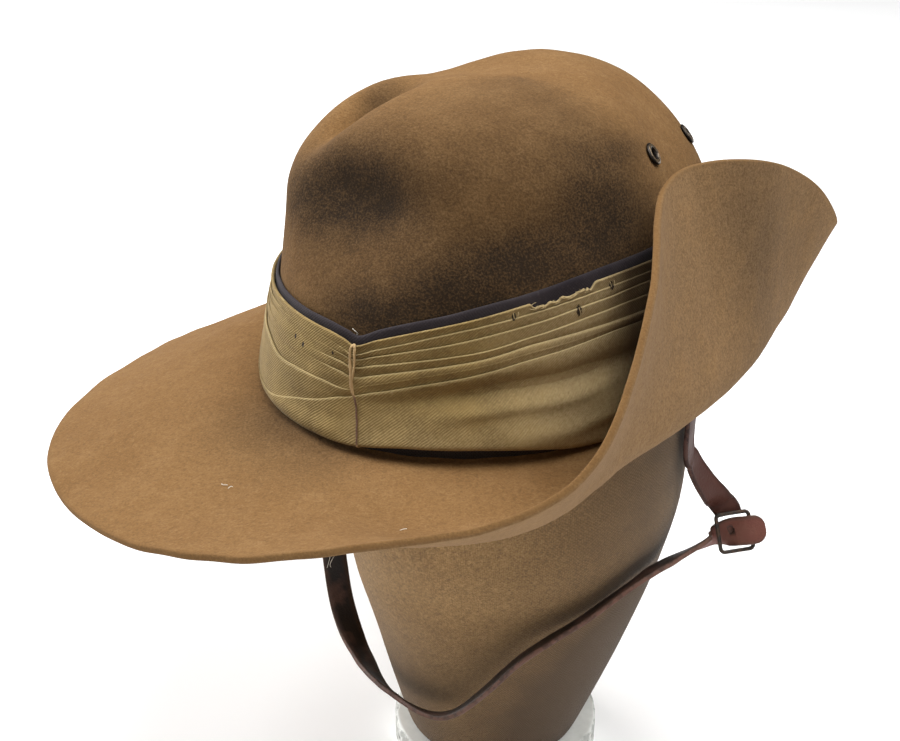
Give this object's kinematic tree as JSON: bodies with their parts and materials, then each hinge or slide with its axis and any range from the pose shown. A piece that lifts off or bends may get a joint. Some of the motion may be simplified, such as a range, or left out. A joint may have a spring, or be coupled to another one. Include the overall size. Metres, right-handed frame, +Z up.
{
  "type": "slouch hat on a display stand",
  "caption": "Brown felt slouch hat, brim turned up on the wearer's left, with a pleated khaki band, navy edging and buckled leather chin strap, on a cloth-covered tapered stand.",
  "frame": {"origin": "centre of the underside of the stand's foot", "axes": "+Z up, -Y the front of the hat, +X the wearer's left, where the brim is turned up"},
  "size_m": [0.2944, 0.3601, 0.3105],
  "materials": {
    "felt": "short-napped brown wool felt",
    "navy_cloth": "plain navy wool cloth",
    "khaki_cloth": "khaki cotton drill, pleated and faded",
    "thong": "tan thong",
    "dark_leather": "worn dark brown leather",
    "red_leather": "worn red-brown leather",
    "buckle_metal": "dark lacquered wire, worn",
    "eyelet_metal": "dark lacquered eyelet",
    "stand_cloth": "brown canvas pulled tight over the stand",
    "foot_paint": "chipped white paint"
  },
  "bodies": {
    "root": {"felt_body": "felt", "under_band": "navy_cloth", "puggaree": "khaki_cloth", "puggaree_tie": "thong", "strap_long": "dark_leather", "strap_short": "red_leather", "buckle": "buckle_metal", "eyelet_1": "eyelet_metal", "eyelet_2": "eyelet_metal", "eyelet_3": "eyelet_metal", "eyelet_4": "eyelet_metal", "stand_column": "stand_cloth", "stand_foot": "foot_paint"}
  },
  "joints": []
}
